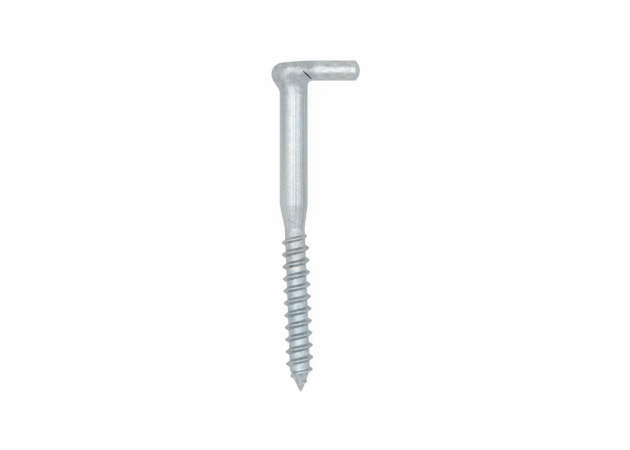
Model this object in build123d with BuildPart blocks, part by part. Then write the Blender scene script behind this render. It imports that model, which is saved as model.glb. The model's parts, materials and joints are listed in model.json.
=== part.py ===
"""Square-bend screw hook: one forged steel rod with a reduced arm, an upset knuckle and a coarse wood screw."""

import os
from math import cos, pi, radians, sin, tan

from build123d import *

os.makedirs("parts", exist_ok=True)

# Rod and arm, in millimetres
overall_length = 120.0  # top of the arm to the screw point
shank_diameter = 10.1
plain_length = 48.6  # arm axis to the end of the parallel shank
arm_diameter = 7.3
arm_reach = 24.0  # shank axis to the end of the arm
arm_dome = 1.65  # rise of the arm's rounded end
arm_edge = 0.4  # rounding of the rim of that end

# Knuckle, upset at the square bend
knuckle_reach = 8.05  # shank axis to the outside of the knuckle
knuckle_depth = 13.4  # through the knuckle, square to the plane of the hook
knuckle_corner = 4.1  # radius of the outside corner
knuckle_drop = 1.2  # widest place below the arm axis
knuckle_fall = 7.0  # degrees, slope of the top towards the outside corner
knuckle_lead = 2.4  # highest place of the swell beyond the middle of the rod, towards the outside
flare_drop = 9.3  # start of the flare below the arm axis
inside_radius = 1.9  # inside corner between shank and arm
arm_start = 8.0  # shank axis to the parallel arm
crease_length = 3.8  # forging fold on both faces of the inside corner
crease_angle = 42.0  # degrees, fall of the fold towards the arm
crease_across = 1.3  # lower end of the fold beyond the shank's side
crease_rise = 0.65  # lower end of the fold above the arm's underside
crease_opening = 50.0  # degrees
crease_sink = 0.25  # bottom of the fold below the skin at its two ends

# Screw, leaning a little towards the arm
lean = 2.15  # degrees
lean_run = 1.0  # parallel shank below the bend of the lean
neck_length = 8.6  # cone from the shank to the screw's core
thread_diameter = 9.9
root_diameter = 7.2
pitch = 4.4
crest_width = 0.45
flank_angle = 35.0  # degrees, each flank to the normal of the axis
thread_start = 10.1  # bend of the lean to the first trace of the thread
lead_in_length = 6.8  # rise of the thread to full height, which it reaches on the arm's side
point_angle = 45.6  # degrees, whole cone
point_radius = 0.55
fade_length = 6.2  # run of the falling thread over the point
fade_lead = 1.2  # start of that run above the cone

shank_r = shank_diameter / 2
arm_r = arm_diameter / 2
root_r = root_diameter / 2
thread_r = thread_diameter / 2
thread_height = thread_r - root_r
ridge_sink = 0.4  # foot of the thread inside the core
skin = 0.05  # ends of the thread just under the core's surface

# The corner of the two axes is the origin, the shank runs down -Y and the arm along +X
up = Vector(0, 0, 1)
bend = Vector(0, lean_run - plain_length, 0)
screw_dir = Vector(sin(radians(lean)), -cos(radians(lean)), 0)
side_dir = Vector(cos(radians(lean)), sin(radians(lean)), 0)
screw_length = (overall_length - arm_r + bend.Y) / cos(radians(lean))


def axial_plane(turn):
    """Plane through the screw axis at an angle about it, with local Y running to the point."""
    out = side_dir * cos(radians(turn)) + up * sin(radians(turn))
    return Plane(bend, x_dir=out, z_dir=out.cross(screw_dir))


# Knuckle sections run from the inside of the bend to its outside
joint_rise = 0.4
with BuildLine() as inside:
    FilletPolyline(
        (shank_r, -flare_drop - joint_rise), (shank_r, -arm_r), (arm_start, -arm_r), radius=inside_radius
    )
with BuildLine() as outside:
    flare = Spline(
        (-shank_r, -flare_drop + joint_rise), (-knuckle_reach, -knuckle_drop), tangents=((0, 1), (0, 1))
    )
    corner = JernArc(flare @ 1, flare % 1, knuckle_corner, knuckle_fall - 90)
    Spline(corner @ 1, (arm_start, arm_r), tangents=(corner % 1, (1, 0)))
inner = inside.wire()
outer = outside.wire()
swell_start = 0.12
steps = 12


def knuckle_swell(place):
    """Share of the upset, from none at the two rods to all of it in the middle of the bend."""
    return sin(pi * max(0.0, (place - swell_start) / (1 - swell_start))) ** 2


def knuckle_crown(place):
    """Highest place across the knuckle, which leads the middle where the metal was upset."""
    across = outer @ place - inner @ place
    return inner @ place + across / 2 + across.normalized() * knuckle_lead * knuckle_swell(place)


def knuckle_section(place):
    """Two half ellipses across the knuckle, deeper than the rod where the metal was upset."""
    crown = knuckle_crown(place)
    across = outer @ place - inner @ place
    rod_r = shank_r + (arm_r - shank_r) * place**2 * (3 - 2 * place)
    half_depth = rod_r + (knuckle_depth / 2 - rod_r) * knuckle_swell(place)
    with BuildSketch(Plane(crown, x_dir=across, z_dir=across.cross(up))) as section:
        with BuildLine():
            EllipticalCenterArc((0, 0), (outer @ place - crown).length, half_depth, -90, arc_size=180)
            EllipticalCenterArc((0, 0), (inner @ place - crown).length, half_depth, 90, arc_size=180)
        make_face()
    return section.sketch.face()


with BuildPart() as knuckle_foot:
    loft([knuckle_section(k / steps) for k in range(steps // 2 + 1)])

with BuildPart() as knuckle_top:
    loft([knuckle_section(k / steps) for k in range(steps // 2, steps + 1)])

with BuildPart() as shank:
    with BuildSketch(Plane.XZ):
        Circle(shank_r)
    with BuildLine() as rod_line:
        Polyline((0, 0, 0), bend, bend + screw_dir * lean_run / 2)
    sweep(path=rod_line.wire(), transition=Transition.RIGHT)
    split(bisect_by=Plane((0, -flare_drop, 0), z_dir=(joint_rise, shank_r, 0)), keep=Keep.BOTTOM)

with BuildPart() as arm:
    with BuildSketch() as arm_outline:
        with BuildLine():
            Polyline((arm_reach, 0), (arm_start, 0), (arm_start, arm_r), (arm_reach - arm_dome, arm_r))
            RadiusArc((arm_reach - arm_dome, arm_r), (arm_reach, 0), (arm_r**2 + arm_dome**2) / (2 * arm_dome))
        make_face()
        fillet(arm_outline.vertices().group_by(Axis.Y)[-1].sort_by(Axis.X)[-1], arm_edge)
    revolve(axis=Axis.X)

# Screw core: neck, root and a cone rounded at its tip
half_point = radians(point_angle / 2)
cone_end_r = point_radius * cos(half_point)
cone_end = screw_length - point_radius + point_radius * sin(half_point)
cone_start = cone_end - (root_r - cone_end_r) / tan(half_point)
full_start = thread_start + lead_in_length
full_end = cone_start - fade_lead

with BuildPart() as core:
    with BuildSketch(axial_plane(0)):
        with BuildLine():
            FilletPolyline(
                (0, lean_run / 2),
                (shank_r, lean_run / 2),
                (shank_r, lean_run),
                (root_r, lean_run + neck_length),
                (root_r, cone_start),
                (cone_end_r, cone_end),
                radius=(0, 5, 4, 0),
            )
            RadiusArc((cone_end_r, cone_end), (0, screw_length), -point_radius)
            Line((0, screw_length), (0, lean_run / 2))
        make_face()
    revolve(axis=Axis(bend, screw_dir))


def core_radius(along):
    """Radius of the screw's core at a distance along its axis."""
    return root_r - max(0.0, along - cone_start) * tan(half_point)


with BuildLine() as spiral:
    Helix(pitch, full_end - full_start, root_r)
thread_path = Plane(bend + screw_dir * full_start, x_dir=side_dir, z_dir=screw_dir) * spiral.line


def ridge_section(along, height):
    """Thread ridge cut by the axial plane it has reached, sunk into the core at its foot."""
    crest_r = core_radius(along) + height
    foot_r = core_radius(along + crest_width / 2 + thread_height * tan(radians(flank_angle))) - ridge_sink
    foot_half = crest_width / 2 + (crest_r - foot_r) * tan(radians(flank_angle))
    with BuildSketch(axial_plane(360 * (along - full_start) / pitch)) as section:
        with BuildLine():
            Polyline(
                (foot_r, along - foot_half),
                (crest_r, along - crest_width / 2),
                (crest_r, along + crest_width / 2),
                (foot_r, along + foot_half),
                close=True,
            )
        make_face()
    return section.sketch.face()


with BuildPart() as thread:
    sweep(ridge_section(full_start, thread_height), path=thread_path, is_frenet=True)


def lead_height(run):
    """Height of the thread on its rise, by the distance left to full height."""
    return (thread_height + skin) * (1 - (run / lead_in_length) ** 2) - skin


def fade_height(run):
    """Height of the thread over the point: its crest falls as the cone does, and sinks in at the end."""
    beside_cone = thread_height - min(run, fade_lead) * tan(half_point)
    return (beside_cone + skin) * (1 - (run / fade_length) ** 6) - skin


lead_runs = [lead_in_length * k / 18 for k in range(19)]
fade_runs = [fade_length * k / 14 for k in range(15)]

with BuildPart() as lead_in:
    loft([ridge_section(full_start - run, lead_height(run)) for run in lead_runs])

with BuildPart() as fade_out:
    loft([ridge_section(full_end + run, fade_height(run)) for run in fade_runs])

with BuildPart() as hook:
    add(knuckle_foot.part)
    add(knuckle_top.part)
    add(shank.part)
    add(arm.part)
    add(core.part)
    add(thread.part)
    add(lead_in.part)
    add(fade_out.part)

    # Fold: a wedge whose edge is a chord under the bulging skin, on both faces
    fold_dir = Vector(cos(radians(crease_angle)), -sin(radians(crease_angle)), 0)
    fold_low = Vector(shank_r + crease_across, crease_rise - arm_r, 0)
    fold_high = fold_low - fold_dir * crease_length
    low, high = (
        max(hook.part.find_intersection_points(Axis(spot, up)), key=lambda hit: hit[0].Z)[0] - up * crease_sink
        for spot in (fold_low, fold_high)
    )
    wedge_height = 4.0
    wedge_half = wedge_height * tan(radians(crease_opening / 2))
    with BuildSketch(Plane(high, x_dir=up.cross(low - high), z_dir=low - high)) as wedge:
        Polygon((0, 0), (wedge_half, wedge_height), (-wedge_half, wedge_height), align=None)
    fold = extrude(amount=(low - high).length, mode=Mode.PRIVATE)
    add(fold, mode=Mode.SUBTRACT)
    add(mirror(fold, about=Plane.XY, mode=Mode.PRIVATE), mode=Mode.SUBTRACT)

# At rest it lies on the knuckle, the rim of the arm and the last full turn of the thread
lowest = knuckle_crown((1 + swell_start) / 2) - up * knuckle_depth / 2
rim = Vector(arm_reach - arm_dome, 0, -arm_r)
crest = bend + screw_dir * full_end - up * thread_r
tilt = (rim - lowest).cross(lowest - crest)
lying = Plane(lowest, x_dir=Vector(0, 1, 0).cross(tilt), z_dir=tilt).to_local_coords(hook.part)
box = lying.bounding_box()

square_hook = Pos(-box.center().X, -box.center().Y, -box.min.Z) * lying
square_hook.label = "square_hook"
export_step(square_hook, "parts/square_hook.step")
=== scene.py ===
"""The square hook lying on a white table, seen from straight above the plane of its bend."""
import json
from math import pi

import bpy
from mathutils import Matrix, Vector


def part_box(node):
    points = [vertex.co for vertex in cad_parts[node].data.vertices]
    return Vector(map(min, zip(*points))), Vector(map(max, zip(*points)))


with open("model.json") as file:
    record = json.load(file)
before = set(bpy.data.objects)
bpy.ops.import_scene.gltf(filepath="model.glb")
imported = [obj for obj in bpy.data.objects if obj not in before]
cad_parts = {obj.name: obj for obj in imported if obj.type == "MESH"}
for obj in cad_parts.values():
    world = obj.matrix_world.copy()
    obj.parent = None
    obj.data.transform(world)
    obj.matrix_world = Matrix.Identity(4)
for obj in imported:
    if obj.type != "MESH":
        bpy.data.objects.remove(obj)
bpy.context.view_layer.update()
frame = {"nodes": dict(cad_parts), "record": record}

MM = 0.001

# Camera
IMAGE_WIDTH = 630  # pixels
PIXELS_PER_MM = 2.76  # scale of the hook in the photograph
PICTURE_CENTRE = (0.0, 0.29)  # millimetres from the middle of the hook, along the arm and the shank
CAMERA_DISTANCE = 1.6  # metres

# Light and table
SOFTBOX_HEIGHT = 1.0  # metres above the table
SOFTBOX_Y = (-0.38, 0.84)  # its two edges along the shank, per height
BRIGHT_X = (-0.70, 0.35)  # edges along the arm of its bright part, per height
BRIGHT_RADIANCE = 0.88
DIM_X = (0.35, 3.0)  # and of its dimmer part, on the side of the arm
DIM_RADIANCE = 0.55
LAMP_COLOUR = (1.0, 0.975, 0.95)
ROOM_LIGHT = 0.7  # world strength that falls on the hook and the table
ROOM_WHITE = 0.92  # world strength that the camera and the metal see
FLOOR_SIZE = 8.0  # metres
FLOOR_GLOW = 0.94  # share of the table's white that no shadow reaches
WHITE = (1.0, 1.0, 1.0, 1.0)
PAPER = (0.9, 0.9, 0.9, 1.0)

# Hook
ARM_MIDDLE = 15.1 * MM  # shank axis to the middle of the arm's straight wall
SHANK_RADIUS = 5.05 * MM

# Stretches of the hook: where each one begins, and where it has its full share
ARM_EDGES = (6.0 * MM, 9.0 * MM)  # from the shank axis
SHANK_EDGES = (-6.0 * MM, -11.0 * MM)  # from the arm axis
SCREW_EDGES = (-56.5 * MM, -58.5 * MM)  # from the arm axis, where the thread begins
CREST_EDGES = (4.0 * MM, 4.7 * MM)  # worn crest of the thread, from the screw axis
FACE_EDGES = (0.0, 1.0 * MM)  # side of the hook that the photograph shows, from its middle plane

# Marks in the plane of the hook: two ends, from the corner of the two axes, and a width, in millimetres
# FOLD is where painted shade darkens the crease between knuckle and arm
FOLD = ((3.53, -0.46), (6.35, -3.00), 0.28)
SCRATCH = ((-1.97, -54.2), (0.31, -55.5), 0.22)
PIT = ((-1.25, -71.0), (-0.45, -70.9), 0.5)
STAIN = ((-0.7, -71.7), (1.5, -71.9), 0.9)
BLUE_STRETCH = ((1.3, -82.0), (1.6, -90.0), 16.0)
MARK_CORE = 0.3  # share of the width that a mark fills in full

# Noises in the plating: size of a spot in millimetres, how far it is drawn out, and its detail
SHANK_LINES = {"size": 0.55, "stretch": (1, 200, 1), "detail": 2.0}
ARM_LINES = {"size": 0.9, "stretch": (3, 1, 1)}
LUMPS = {"size": 2.2, "detail": 4.0}
GRAIN = {"size": 0.5, "detail": 4.0}
CLOUDS = {"size": 7.0}
WARM_SPOTS = {"size": 2.0}
WARM_STREAKS = {"size": 1.4, "stretch": (1, 6, 1)}

# Values of a noise between which its mark goes from none to all
SHANK_LINE_RANGE = (0.42, 0.59)
ARM_LINE_RANGE = (0.2, 0.8)
LUMP_RANGE = (0.35, 0.65)
GRAIN_RANGE = (0.36, 0.64)
TINT_RANGE = (0.45, 0.70)
ROUGH_RANGE = (0.3, 0.7)

# Relief, in millimetres
SHANK_LINE_DEPTH = 0.09
ARM_LINE_DEPTH = 0.04
LUMP_DEPTH = 0.12
GRAIN_DEPTH = 0.05
WEAR_DEPTH = -0.06  # sunk

# Colours of the zinc, its marks and the painted shade of the fold, and factors that tint the zinc
ZINC_LIGHT = (0.58, 0.605, 0.612, 1.0)
ZINC_DARK = (0.332, 0.368, 0.395, 1.0)
ZINC_RIM = (0.75, 0.75, 0.75, 1.0)  # dulls the mirror at a grazing angle
TAN = (0.70, 0.62, 0.53, 1.0)
# near-black painted shade for the crease of the fold
FOLD_SHADE = (0.05, 0.06, 0.06, 1.0)
SCUFF = (0.16, 0.15, 0.13, 1.0)
BLUE_TINT = (0.965, 1.06, 1.12, 1.0)
WARM_TINT = (1.055, 1.015, 0.975, 1.0)
ARM_TINT = (1.09, 1.055, 1.02, 1.0)
SCREW_TINT = (1.08, 1.09, 1.085, 1.0)
CREST_TINT = (0.95, 0.92, 0.895, 1.0)

# Strengths, as shares of 1, and roughness
GRAIN_ON_ROD = 0.35  # share of the grain in the tone of the shank and the arm
GRAIN_ON_FORGING = 0.5  # and of the knuckle and the screw
LUMP_TONE = 0.58  # tone of the highest lumps, where 1 is the light zinc
CLOUD_STRENGTH = 0.6
BLUE_STRENGTH = 0.75
STAIN_STRENGTH = 0.6
WEAR_STRENGTH = 0.6
ROUGHNESS = (0.28, 0.37)  # from the hollows to the lumps
SCREW_ROUGHNESS = 0.46

mounts = {mount["name"]: mount for mount in frame["record"]["mounts"]}
hook = frame["nodes"]["square_hook"]
low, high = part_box("square_hook")
middle = (low + high) / 2

# The arm and the screw span the plane of the bend, and turn leads from the frame's axes to the hook's own
arm_axis = Vector(mounts["arm_pin"]["axis"]).normalized()
screw_axis = Vector(mounts["wood_thread"]["axis"]).normalized()
face_axis = screw_axis.cross(arm_axis).normalized()
shank_axis = face_axis.cross(arm_axis)
corner = Vector(mounts["arm_pin"]["pos_m"]) - arm_axis * ARM_MIDDLE
screw_spot = Vector(mounts["wood_thread"]["pos_m"])
turn = Matrix((arm_axis, shank_axis, face_axis))


class Nodes:
    """A node tree that is filled by short calls."""

    def __init__(self, tree):
        self.tree = tree
        tree.nodes.clear()

    def add(self, kind, settings=None, **inputs):
        """A new node: settings are its properties, and inputs its values or links by socket name."""
        made = self.tree.nodes.new(kind)
        for name, value in (settings or {}).items():
            setattr(made, name, value)
        for name, value in inputs.items():
            self.put(made, name, value)
        return made

    def put(self, made, name, value):
        """Sets one input, by its name with spaces as underscores, or by its number after an underscore."""
        socket = made.inputs[int(name[1:]) if name[0] == "_" else name.replace("_", " ")]
        if isinstance(value, bpy.types.NodeSocket):
            self.tree.links.new(value, socket)
        else:
            socket.default_value = value

    def times(self, first, second):
        """Product of two values."""
        return self.add("ShaderNodeMath", {"operation": "MULTIPLY"}, _0=first, _1=second).outputs[0]

    def larger(self, first, second):
        """Larger one of two values."""
        return self.add("ShaderNodeMath", {"operation": "MAXIMUM"}, _0=first, _1=second).outputs[0]

    def ramp(self, value, start, end, low=0.0, high=1.0):
        """Runs smoothly from low to high while value goes from start to end."""
        smooth = {"interpolation_type": "SMOOTHSTEP"}
        return self.add("ShaderNodeMapRange", smooth, _0=value, _1=start, _2=end, _3=low, _4=high).outputs[0]

    def blend(self, share, first, second):
        """Runs from the first value to the second as the share goes from 0 to 1."""
        return self.add("ShaderNodeMix", _0=share, _2=first, _3=second).outputs[0]

    def blend_colour(self, share, first, second):
        """Runs from the first colour to the second as the share goes from 0 to 1."""
        return self.add("ShaderNodeMix", {"data_type": "RGBA"}, _0=share, _6=first, _7=second).outputs[2]

    def tint(self, share, colour, factor):
        """Colour multiplied by a factor, as far as its share goes."""
        multiply = {"data_type": "RGBA", "blend_type": "MULTIPLY"}
        return self.add("ShaderNodeMix", multiply, _0=share, _6=colour, _7=factor).outputs[2]

    def noise(self, place, size, stretch=(1, 1, 1), detail=3.0):
        """Noise with spots of about that size in millimetres, drawn out by stretch."""
        spread = self.add("ShaderNodeMapping", Vector=place, Scale=[1 / factor for factor in stretch])
        made = self.add("ShaderNodeTexNoise", Vector=spread.outputs[0], Scale=1 / (size * MM), Detail=detail)
        return made.outputs["Fac"]

    def bump(self, height, depth, below=None):
        """Relief of that depth in millimetres, on top of the relief below it."""
        made = self.add("ShaderNodeBump", Height=height, Strength=1.0, Distance=depth * MM)
        if below is not None:
            self.put(made, "Normal", below)
        return made.outputs[0]

    def vector(self, operation, first, second=None, name="Vector", **inputs):
        """Result of a vector operation: a vector, or the output of another name."""
        made = self.add("ShaderNodeVectorMath", {"operation": operation}, _0=first, **inputs)
        if second is not None:
            self.put(made, "_1", second)
        return made.outputs[name]


def new_material(name):
    """An empty material and its nodes."""
    material = bpy.data.materials.new(name)
    material.use_nodes = True
    return material, Nodes(material.node_tree)


def seen_rays(nodes):
    """1 for rays from the camera, from metal and through glass, and 0 for the light on things."""
    path = nodes.add("ShaderNodeLightPath")
    seen = nodes.larger(path.outputs["Is Camera Ray"], path.outputs["Is Glossy Ray"])
    return nodes.larger(seen, path.outputs["Is Transmission Ray"])


def hook_place(nodes):
    """Metres along the arm, up the shank and towards the face, from the corner of their axes."""
    place = nodes.add("ShaderNodeTexCoord").outputs["Object"]
    shift = -(turn @ corner)
    return nodes.add("ShaderNodeMapping", Vector=place, Rotation=turn.to_euler(), Location=shift).outputs[0]


def round_shank(nodes, place):
    """Place on a rod of even thickness, so that lines on the shank follow its neck."""
    around = nodes.vector("NORMALIZE", nodes.vector("MULTIPLY", place, (1, 0, 1)))
    along = nodes.vector("MULTIPLY", place, (0, 1, 0))
    return nodes.vector("ADD", nodes.vector("SCALE", around, Scale=SHANK_RADIUS), along)


def screw_radius(nodes, place):
    """Distance from the axis of the screw, which leans a little from the shank's."""
    offset = nodes.vector("SUBTRACT", place, turn @ (screw_spot - corner))
    along = nodes.vector("PROJECT", offset, turn @ screw_axis)
    return nodes.vector("DISTANCE", offset, along, name="Value")


def near_line(nodes, place, start, end, width):
    """1 on a straight mark in the hook's plane and 0 from its width beyond it, on both faces."""
    first, last = (Vector((x, y, 0)) * MM for x, y in (start, end))
    run = last - first
    offset = nodes.vector("SUBTRACT", nodes.vector("MULTIPLY", place, (1, 1, 0)), first)
    share = nodes.vector("DOT_PRODUCT", offset, run / run.length_squared, name="Value")
    held = nodes.add("ShaderNodeClamp", _0=share).outputs[0]
    gap = nodes.vector("DISTANCE", offset, nodes.vector("SCALE", run, Scale=held), name="Value")
    return nodes.ramp(gap, width * MM, MARK_CORE * width * MM)


def regions(nodes, place):
    """Share of each stretch of the hook, from 0 to 1, and of the face that the photograph shows."""
    along_arm, up_shank, to_face = nodes.add("ShaderNodeSeparateXYZ", _0=place).outputs
    below_bend = nodes.ramp(up_shank, *SHANK_EDGES)
    screw = nodes.ramp(up_shank, *SCREW_EDGES)
    return {
        "arm": nodes.ramp(along_arm, *ARM_EDGES),
        "below_bend": below_bend,
        "shank": nodes.times(below_bend, nodes.ramp(screw, 1.0, 0.0)),
        "screw": screw,
        "crest": nodes.times(screw, nodes.ramp(screw_radius(nodes, place), *CREST_EDGES)),
        "face": nodes.ramp(to_face, *FACE_EDGES),
    }


def zinc_tone(nodes, share, shank_lines, arm_lines, lumps, grain):
    """Grey of the zinc, darker in the hollows of its relief: partly the zinc's own streaks and mottle,
    partly painted shade of the lines and lumps.
    """
    # the tones follow the noises of the relief, so their dark parts are partly painted shade in its hollows
    shank_tone = nodes.ramp(shank_lines, *SHANK_LINE_RANGE)
    arm_tone = nodes.ramp(arm_lines, *ARM_LINE_RANGE)
    lump_tone = nodes.ramp(lumps, *LUMP_RANGE, high=LUMP_TONE)
    mottle = nodes.ramp(grain, *GRAIN_RANGE)
    drawn = nodes.blend(GRAIN_ON_ROD, nodes.blend(share["arm"], shank_tone, arm_tone), mottle)
    forged = nodes.blend(GRAIN_ON_FORGING, lump_tone, mottle)
    on_rod = nodes.larger(share["arm"], share["shank"])
    return nodes.blend_colour(nodes.blend(on_rod, forged, drawn), ZINC_DARK, ZINC_LIGHT)


def tinted(nodes, place, share, zinc):
    """Zinc with bluish and warm clouds, and with the tints of the screw, the arm and the worn crests."""
    clouds = nodes.ramp(nodes.noise(place, **CLOUDS), *TINT_RANGE, high=CLOUD_STRENGTH)
    blue_stretch = nodes.times(near_line(nodes, place, *BLUE_STRETCH), BLUE_STRENGTH)
    blued = nodes.tint(nodes.larger(clouds, blue_stretch), zinc, BLUE_TINT)
    spots = nodes.noise(place, **WARM_SPOTS)
    warm = nodes.blend(share["below_bend"], spots, nodes.noise(place, **WARM_STREAKS))
    warmed = nodes.tint(nodes.ramp(warm, *TINT_RANGE), blued, WARM_TINT)
    on_screw = nodes.tint(share["screw"], warmed, SCREW_TINT)
    on_arm = nodes.tint(share["arm"], on_screw, ARM_TINT)
    return nodes.tint(share["crest"], on_arm, CREST_TINT)


def marked(nodes, place, share, plating, worn):
    """Plating with its tan stain, its worn marks and painted shade in the crease of the fold."""
    stain = nodes.times(near_line(nodes, place, *STAIN), share["face"])
    stained = nodes.blend_colour(nodes.times(stain, STAIN_STRENGTH), plating, TAN)
    scuffed = nodes.blend_colour(nodes.times(worn, WEAR_STRENGTH), stained, SCUFF)
    # painted shade along the crease of the fold
    return nodes.blend_colour(near_line(nodes, place, *FOLD), scuffed, FOLD_SHADE)


def relief(nodes, share, shank_lines, arm_lines, lumps, grain, worn):
    """Lines, lumps, worn marks and grain, one on top of the other."""
    drawn_shank = nodes.bump(nodes.times(shank_lines, share["shank"]), SHANK_LINE_DEPTH)
    drawn_arm = nodes.bump(nodes.times(arm_lines, share["arm"]), ARM_LINE_DEPTH, below=drawn_shank)
    forged = nodes.bump(lumps, LUMP_DEPTH, below=drawn_arm)
    scored = nodes.bump(worn, WEAR_DEPTH, below=forged)
    return nodes.bump(grain, GRAIN_DEPTH, below=scored)


def zinc_material():
    """Bright zinc over forged steel: lines along the rod, a darker lumpy knuckle and mottled plating."""
    material, nodes = new_material("zinc_steel")
    place = hook_place(nodes)
    share = regions(nodes, place)
    shank_lines = nodes.noise(round_shank(nodes, place), **SHANK_LINES)
    arm_lines = nodes.noise(place, **ARM_LINES)
    lumps = nodes.noise(place, **LUMPS)
    grain = nodes.noise(place, **GRAIN)
    scratch_and_pit = nodes.larger(near_line(nodes, place, *SCRATCH), near_line(nodes, place, *PIT))
    worn = nodes.times(scratch_and_pit, share["face"])

    zinc = zinc_tone(nodes, share, shank_lines, arm_lines, lumps, grain)
    plating = tinted(nodes, place, share, zinc)
    rod_roughness = nodes.ramp(lumps, *ROUGH_RANGE, *ROUGHNESS)
    shader = nodes.add(
        "ShaderNodeBsdfPrincipled",
        Base_Color=marked(nodes, place, share, plating, worn),
        Metallic=1.0,
        Roughness=nodes.blend(share["screw"], rod_roughness, SCREW_ROUGHNESS),
        Specular_Tint=ZINC_RIM,
        Normal=relief(nodes, share, shank_lines, arm_lines, lumps, grain, worn),
    )
    nodes.add("ShaderNodeOutputMaterial", Surface=shader.outputs[0])
    return material


def floor_material():
    """White table that stays white to the camera and keeps a soft shadow."""
    material, nodes = new_material("white_table")
    paper = nodes.add("ShaderNodeBsdfDiffuse", Color=PAPER)
    glow = nodes.add("ShaderNodeEmission", Color=WHITE, Strength=1.0)
    share = nodes.times(seen_rays(nodes), FLOOR_GLOW)
    both = nodes.add("ShaderNodeMixShader", _0=share, _1=paper.outputs[0], _2=glow.outputs[0])
    nodes.add("ShaderNodeOutputMaterial", Surface=both.outputs[0])
    return material


def add_floor():
    """Flat table under the hook."""
    half = FLOOR_SIZE / 2
    corners = [(-half, -half, 0), (half, -half, 0), (half, half, 0), (-half, half, 0)]
    mesh = bpy.data.meshes.new("table")
    mesh.from_pydata(corners, [], [(0, 1, 2, 3)])
    mesh.materials.append(floor_material())
    table = bpy.data.objects.new("table", mesh)
    bpy.context.scene.collection.objects.link(table)


def add_world():
    """White room, a little dimmer as a light than as the metal sees it."""
    world = bpy.data.worlds.new("room")
    bpy.context.scene.world = world
    world.use_nodes = True
    nodes = Nodes(world.node_tree)
    level = nodes.add("ShaderNodeMapRange", Value=seen_rays(nodes), To_Min=ROOM_LIGHT, To_Max=ROOM_WHITE)
    sky = nodes.add("ShaderNodeBackground", Color=WHITE, Strength=level.outputs[0])
    nodes.add("ShaderNodeOutputWorld", Surface=sky.outputs[0])


def add_softbox(name, edges_x, radiance):
    """Part of the wide lamp over the hook, which gives the bright band along the rod."""
    lamp = bpy.data.lights.new(name, "AREA")
    lamp.shape = "RECTANGLE"
    lamp.color = LAMP_COLOUR
    lamp.size = (edges_x[1] - edges_x[0]) * SOFTBOX_HEIGHT
    lamp.size_y = (SOFTBOX_Y[1] - SOFTBOX_Y[0]) * SOFTBOX_HEIGHT
    lamp.energy = radiance * pi * lamp.size * lamp.size_y
    softbox = bpy.data.objects.new(name, lamp)
    softbox.location = Vector((sum(edges_x) / 2, sum(SOFTBOX_Y) / 2, 1.0)) * SOFTBOX_HEIGHT
    softbox.visible_camera = False
    bpy.context.scene.collection.objects.link(softbox)


def add_camera():
    """Camera square to the plane of the bend, with the arm level in the picture."""
    camera = bpy.data.cameras.new("camera")
    camera.lens = camera.sensor_width * CAMERA_DISTANCE / (IMAGE_WIDTH / PIXELS_PER_MM * MM)
    viewer = bpy.data.objects.new("camera", camera)
    aim = middle + (arm_axis * PICTURE_CENTRE[0] + shank_axis * PICTURE_CENTRE[1]) * MM
    viewer.matrix_world = Matrix.Translation(aim + face_axis * CAMERA_DISTANCE) @ turn.transposed().to_4x4()
    bpy.context.scene.collection.objects.link(viewer)
    bpy.context.scene.camera = viewer


hook.data.materials.clear()
hook.data.materials.append(zinc_material())
add_floor()
add_world()
add_softbox("softbox_bright", BRIGHT_X, BRIGHT_RADIANCE)
add_softbox("softbox_dim", DIM_X, DIM_RADIANCE)
add_camera()
bpy.context.scene.view_settings.view_transform = "Standard"
